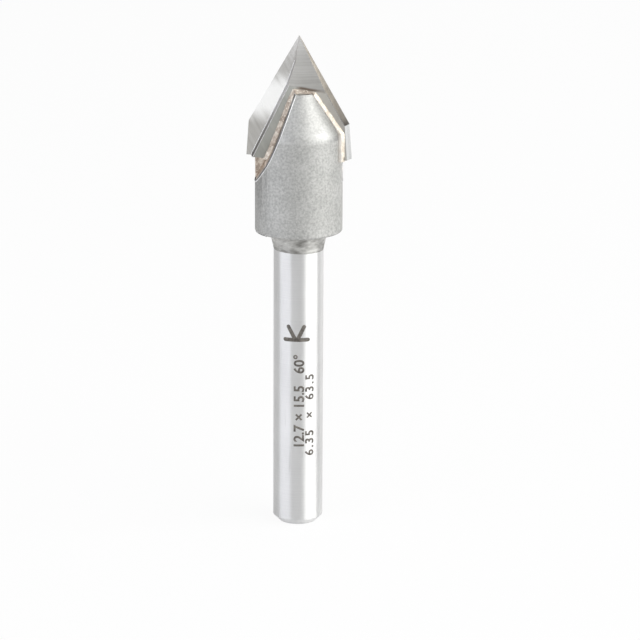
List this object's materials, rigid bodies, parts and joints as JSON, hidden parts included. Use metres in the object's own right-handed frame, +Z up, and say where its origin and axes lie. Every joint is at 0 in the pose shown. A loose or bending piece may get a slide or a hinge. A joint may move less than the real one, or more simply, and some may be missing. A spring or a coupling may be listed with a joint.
{
  "type": "v groove router bit",
  "caption": "Pointed cutter for routing V grooves: a plain round shank, a fluted steel head and a brazed carbide plate ground to a sixty degree point with straight side edges.",
  "frame": {"origin": "centre of the shank's flat end face, on which the bit stands", "axes": "+Z up the bit's axis to the cutting point, X along the carbide plate's width, -Y the side from which the left wing's rake face is seen"},
  "size_m": [0.0134, 0.011, 0.0635],
  "materials": {
    "blasted_steel": "bead blasted head over a bright ground shank",
    "ground_carbide": "fine ground, with grinding lines",
    "braze_filler": "dull copper coloured, as it flowed"
  },
  "bodies": {
    "root": {"steel_body": "blasted_steel", "carbide_tip": "ground_carbide", "braze_joint": "braze_filler"}
  },
  "joints": []
}
